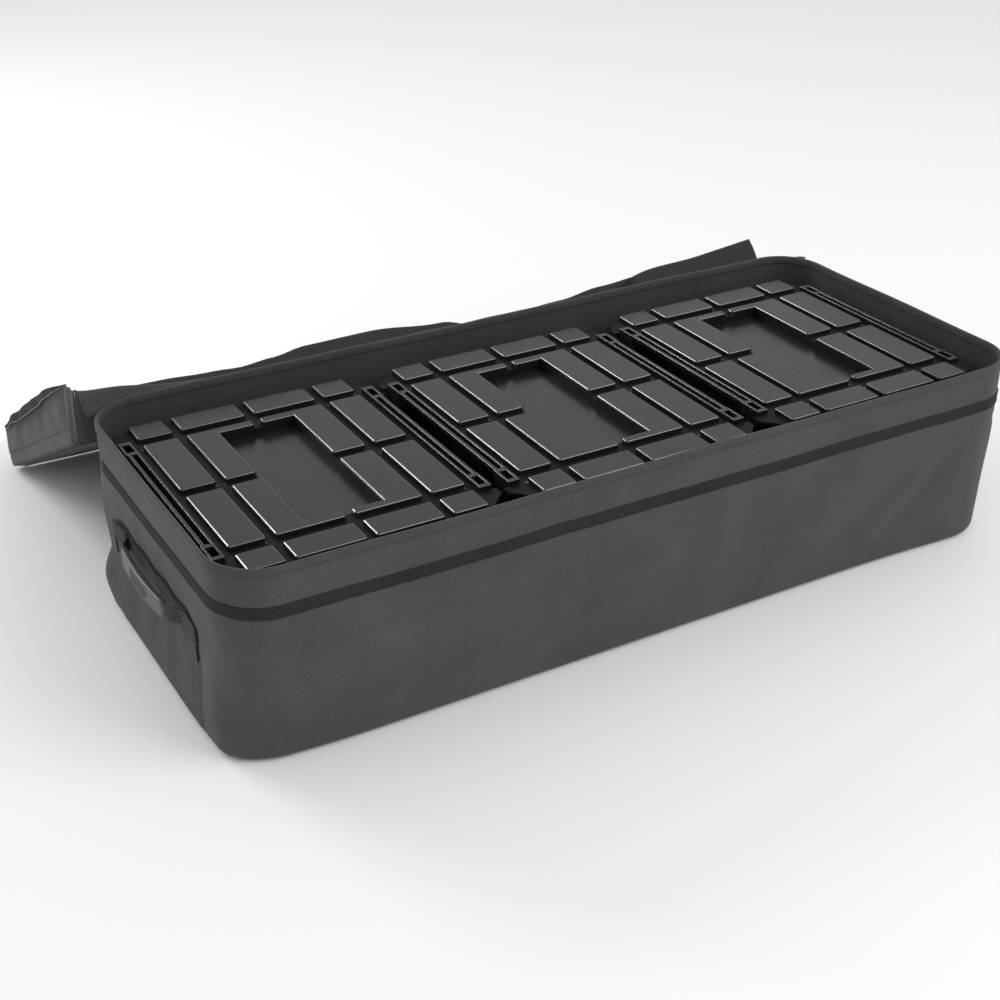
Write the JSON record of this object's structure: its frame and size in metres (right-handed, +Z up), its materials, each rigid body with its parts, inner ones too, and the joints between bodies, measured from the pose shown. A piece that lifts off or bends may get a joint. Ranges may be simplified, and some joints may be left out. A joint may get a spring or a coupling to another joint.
{
  "type": "folding tire traction mat set in storage bag",
  "caption": "Accordion-folded moulded traction mats with block treads and hinged edges, standing in an open soft storage bag with a flip-back lid and end handles.",
  "frame": {"origin": "centre of the bag's bottom face, on the ground", "axes": "+X along the bag's length, +Y from the open front side to the lid's hinge side, +Z up"},
  "size_m": [0.909, 0.7091, 0.2054],
  "materials": {
    "woven_cloth": "woven polyester",
    "patch_cloth": "woven polyester",
    "webbing": "ribbed webbing",
    "binding_tape": "grosgrain tape",
    "closure_tape": "hook tape",
    "base_plastic": "extruded board",
    "grip_rubber": "moulded",
    "mat_plastic": "moulded, fine grain"
  },
  "bodies": {
    "bag": {"bag_floor": "woven_cloth", "bag_wall": "woven_cloth", "base_board": "base_plastic", "rim_binding": "binding_tape", "closure_band": "closure_tape", "handle_patch_left": "patch_cloth", "handle_tab_front_left": "webbing", "handle_tab_back_left": "webbing", "handle_patch_right": "patch_cloth", "handle_tab_front_right": "webbing", "handle_tab_back_right": "webbing"},
    "lid_strip": {"lid_hinge_strip": "woven_cloth"},
    "lid": {"lid_board": "woven_cloth", "lid_skirt": "woven_cloth"},
    "handle_left": {"grip_left": "grip_rubber", "handle_strap_front_left": "webbing", "handle_strap_back_left": "webbing"},
    "handle_right": {"grip_right": "grip_rubber", "handle_strap_front_right": "webbing", "handle_strap_back_right": "webbing"},
    "mat_a": {"mat_a_panel_1": "mat_plastic"},
    "mat_a_fold_2": {"mat_a_panel_2": "mat_plastic"},
    "mat_a_fold_3": {"mat_a_panel_3": "mat_plastic"},
    "mat_a_fold_4": {"mat_a_panel_4": "mat_plastic"},
    "mat_a_fold_5": {"mat_a_panel_5": "mat_plastic"},
    "mat_b": {"mat_b_panel_1": "mat_plastic"},
    "mat_b_fold_2": {"mat_b_panel_2": "mat_plastic"},
    "mat_b_fold_3": {"mat_b_panel_3": "mat_plastic"},
    "mat_b_fold_4": {"mat_b_panel_4": "mat_plastic"},
    "mat_b_fold_5": {"mat_b_panel_5": "mat_plastic"},
    "mat_c": {"mat_c_panel_1": "mat_plastic"},
    "mat_c_fold_2": {"mat_c_panel_2": "mat_plastic"},
    "mat_c_fold_3": {"mat_c_panel_3": "mat_plastic"},
    "mat_c_fold_4": {"mat_c_panel_4": "mat_plastic"},
    "mat_c_fold_5": {"mat_c_panel_5": "mat_plastic"}
  },
  "joints": [
    {"name": "lid_hinge", "type": "hinge", "parent": "bag", "child": "lid_strip", "pos_m": [0, 0.1892, 0.2058], "axis": [-1, 0, 0], "range_deg": [-255, 0]},
    {"name": "lid_fold", "type": "hinge", "parent": "lid_strip", "child": "lid", "pos_m": [0, 0.20214, 0.1575], "axis": [1, 0, 0], "range_deg": [-46.84, 0]},
    {"name": "handle_left_swing", "type": "hinge", "parent": "bag", "child": "handle_left", "pos_m": [-0.4407, 0, 0.109], "axis": [0, 1, 0], "range_deg": [-18, 18]},
    {"name": "handle_right_swing", "type": "hinge", "parent": "bag", "child": "handle_right", "pos_m": [0.4407, 0, 0.109], "axis": [0, 1, 0], "range_deg": [-18, 18]},
    {"name": "mat_a_lift", "type": "slide", "parent": "bag", "child": "mat_a", "axis": [0, 0, 1], "range_m": [0, 0.2]},
    {"name": "mat_a_unfold", "type": "hinge", "parent": "mat_a", "child": "mat_a_fold_2", "pos_m": [-0.1527, -0.002, 0.04125], "axis": [0, 1, 0], "range_deg": [0, 11]},
    {"name": "mat_a_unfold_2", "type": "hinge", "parent": "mat_a_fold_2", "child": "mat_a_fold_3", "pos_m": [-0.4283, -0.002, 0.07815], "axis": [0, -1, 0], "range_deg": [0, 22]},
    {"name": "mat_a_unfold_3", "type": "hinge", "parent": "mat_a_fold_3", "child": "mat_a_fold_4", "pos_m": [-0.1527, -0.002, 0.11505], "axis": [0, 1, 0], "range_deg": [0, 22]},
    {"name": "mat_a_unfold_4", "type": "hinge", "parent": "mat_a_fold_4", "child": "mat_a_fold_5", "pos_m": [-0.4283, -0.002, 0.15195], "axis": [0, -1, 0], "range_deg": [0, 22]},
    {"name": "mat_b_lift", "type": "slide", "parent": "bag", "child": "mat_b", "axis": [0, 0, 1], "range_m": [0, 0.2]},
    {"name": "mat_b_unfold", "type": "hinge", "parent": "mat_b", "child": "mat_b_fold_2", "pos_m": [0.1279, -0.0058, 0.04125], "axis": [0, 1, 0], "range_deg": [0, 11]},
    {"name": "mat_b_unfold_2", "type": "hinge", "parent": "mat_b_fold_2", "child": "mat_b_fold_3", "pos_m": [-0.1477, -0.0058, 0.07815], "axis": [0, -1, 0], "range_deg": [0, 22]},
    {"name": "mat_b_unfold_3", "type": "hinge", "parent": "mat_b_fold_3", "child": "mat_b_fold_4", "pos_m": [0.1279, -0.0058, 0.11505], "axis": [0, 1, 0], "range_deg": [0, 22]},
    {"name": "mat_b_unfold_4", "type": "hinge", "parent": "mat_b_fold_4", "child": "mat_b_fold_5", "pos_m": [-0.1477, -0.0058, 0.15195], "axis": [0, -1, 0], "range_deg": [0, 22]},
    {"name": "mat_c_lift", "type": "slide", "parent": "bag", "child": "mat_c", "axis": [0, 0, 1], "range_m": [0, 0.2]},
    {"name": "mat_c_unfold", "type": "hinge", "parent": "mat_c", "child": "mat_c_fold_2", "pos_m": [0.4126, -0.003, 0.04125], "axis": [0, 1, 0], "range_deg": [0, 11]},
    {"name": "mat_c_unfold_2", "type": "hinge", "parent": "mat_c_fold_2", "child": "mat_c_fold_3", "pos_m": [0.137, -0.003, 0.07815], "axis": [0, -1, 0], "range_deg": [0, 22]},
    {"name": "mat_c_unfold_3", "type": "hinge", "parent": "mat_c_fold_3", "child": "mat_c_fold_4", "pos_m": [0.4126, -0.003, 0.11505], "axis": [0, 1, 0], "range_deg": [0, 22]},
    {"name": "mat_c_unfold_4", "type": "hinge", "parent": "mat_c_fold_4", "child": "mat_c_fold_5", "pos_m": [0.137, -0.003, 0.15195], "axis": [0, -1, 0], "range_deg": [0, 22]}
  ],
  "couplings": [
    {"joint": "lid_fold", "follows": "lid_hinge", "ratio": 0.18363},
    {"joint": "mat_a_unfold_2", "follows": "mat_a_unfold", "ratio": 2},
    {"joint": "mat_a_unfold_3", "follows": "mat_a_unfold", "ratio": 2},
    {"joint": "mat_a_unfold_4", "follows": "mat_a_unfold", "ratio": 2},
    {"joint": "mat_b_unfold_2", "follows": "mat_b_unfold", "ratio": 2},
    {"joint": "mat_b_unfold_3", "follows": "mat_b_unfold", "ratio": 2},
    {"joint": "mat_b_unfold_4", "follows": "mat_b_unfold", "ratio": 2},
    {"joint": "mat_c_unfold_2", "follows": "mat_c_unfold", "ratio": 2},
    {"joint": "mat_c_unfold_3", "follows": "mat_c_unfold", "ratio": 2},
    {"joint": "mat_c_unfold_4", "follows": "mat_c_unfold", "ratio": 2}
  ]
}
